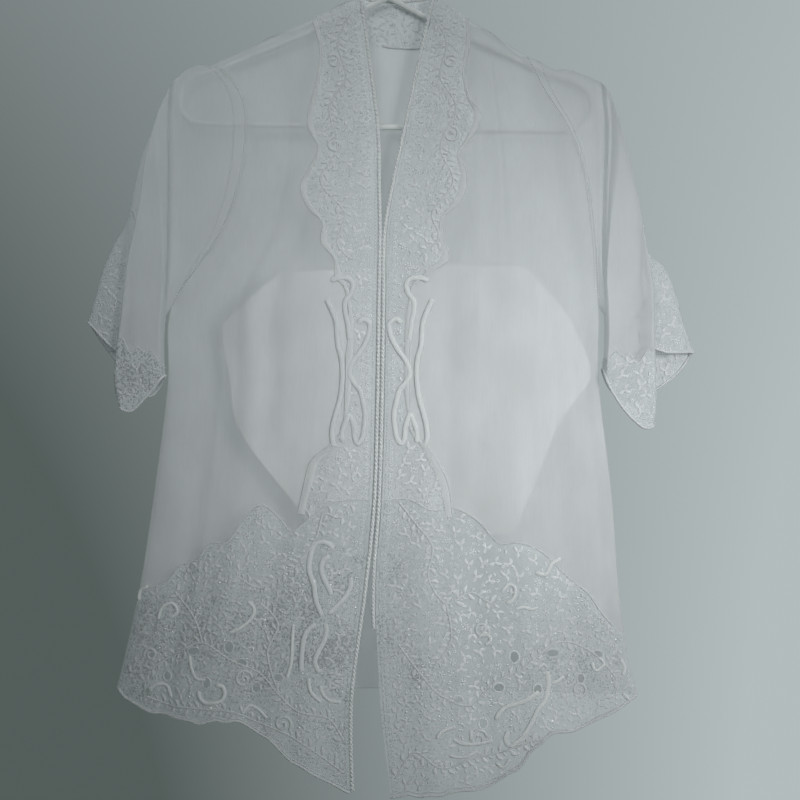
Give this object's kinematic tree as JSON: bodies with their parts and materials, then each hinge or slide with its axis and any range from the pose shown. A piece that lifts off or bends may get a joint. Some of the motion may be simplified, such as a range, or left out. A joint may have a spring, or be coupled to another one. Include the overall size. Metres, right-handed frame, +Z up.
{
  "type": "kebaya blouse on a hanger",
  "caption": "Sheer white kebaya blouse with embroidered borders, braided front edges and flared cuffs, hanging flat on a slim hanger.",
  "frame": {"origin": "highest inner point of the hanger's hook, where it rests on a rail", "axes": "+Z up, -Y towards the front of the blouse, +X towards the wearer's left sleeve"},
  "size_m": [0.5989, 0.0534, 0.8665],
  "materials": {
    "voile": "sheer off-white voile",
    "lining": "light white lining cloth",
    "embroidery": "dense off-white machine embroidery",
    "braid": "twisted satin cord",
    "hanger": "white moulded plastic"
  },
  "bodies": {
    "root": {"back": "voile", "front_right": "voile", "front_left": "voile", "sleeve_right": "voile", "sleeve_left": "voile", "lining_right": "lining", "lining_left": "lining", "neck_facing_back": "embroidery", "neck_border_right": "embroidery", "neck_border_left": "embroidery", "hem_border_right": "embroidery", "hem_border_left": "embroidery", "cuff_front_right": "embroidery", "cuff_back_right": "embroidery", "cuff_front_left": "embroidery", "cuff_back_left": "embroidery", "braid_right": "braid", "braid_left": "braid", "braid_neck": "braid", "scroll_right_outer": "braid", "scroll_right_inner": "braid", "scroll_right_loop": "braid", "scroll_right_hem_long": "braid", "scroll_right_hem_curl": "braid", "scroll_right_hem_branch": "braid", "scroll_right_hem_stem": "braid", "scroll_right_hem_tail": "braid", "scroll_left_outer": "braid", "scroll_left_inner": "braid", "scroll_left_loop": "braid", "scroll_left_hem_long": "braid", "scroll_left_hem_branch": "braid", "hanger": "hanger", "hanger_hook": "hanger"}
  },
  "joints": []
}
